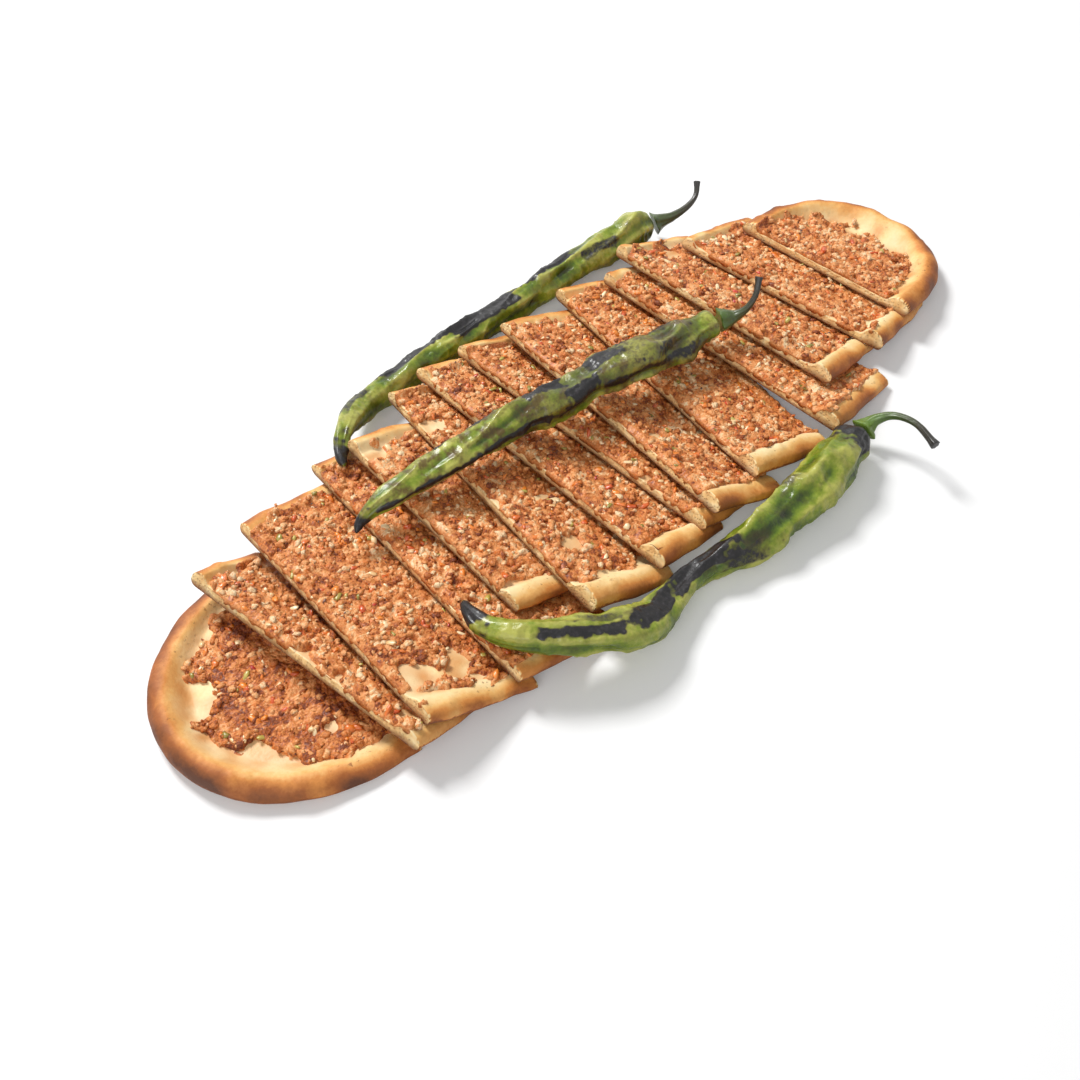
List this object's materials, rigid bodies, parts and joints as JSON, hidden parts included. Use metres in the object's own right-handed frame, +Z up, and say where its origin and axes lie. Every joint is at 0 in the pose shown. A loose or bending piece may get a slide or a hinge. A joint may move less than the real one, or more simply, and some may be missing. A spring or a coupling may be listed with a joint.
{
  "type": "turkish pide",
  "caption": "Boat-shaped flatbread topped with spiced minced meat, cut into leaning strips, served with grilled long green peppers.",
  "frame": {"origin": "on the plane the food rests on, under the middle of its overall length and width", "axes": "+X along the pide's length, from the flat-lying rounded piece towards the last leaning rounded piece; +Y from the front ends of the strips towards the back ends; +Z up"},
  "size_m": [0.5668, 0.2652, 0.0549],
  "materials": {
    "bread": "baked wheat dough: pale cream to golden, browned on the outer rim, dry and matte",
    "meat": "minced meat with tomato, pepper and onion bits, crumbly, moist with a little fat",
    "pepper": "grilled green pepper skin: wrinkled, oily, with black char patches",
    "stem": "dry green calyx running into a dark, partly burnt stalk"
  },
  "bodies": {
    "root": {"bread_01": "bread", "bread_02": "bread", "bread_03": "bread", "bread_04": "bread", "bread_05": "bread", "bread_06": "bread", "bread_07": "bread", "bread_08": "bread", "bread_09": "bread", "bread_10": "bread", "bread_11": "bread", "bread_12": "bread", "bread_13": "bread", "bread_14": "bread", "meat_01": "meat", "meat_02": "meat", "meat_03": "meat", "meat_04": "meat", "meat_05": "meat", "meat_06": "meat", "meat_07": "meat", "meat_08": "meat", "meat_09": "meat", "meat_10": "meat", "meat_11": "meat", "meat_12": "meat", "meat_13": "meat", "meat_14": "meat", "pepper_top": "pepper", "stem_top": "stem", "pepper_front": "pepper", "stem_front": "stem", "pepper_back": "pepper", "stem_back": "stem"}
  },
  "joints": []
}
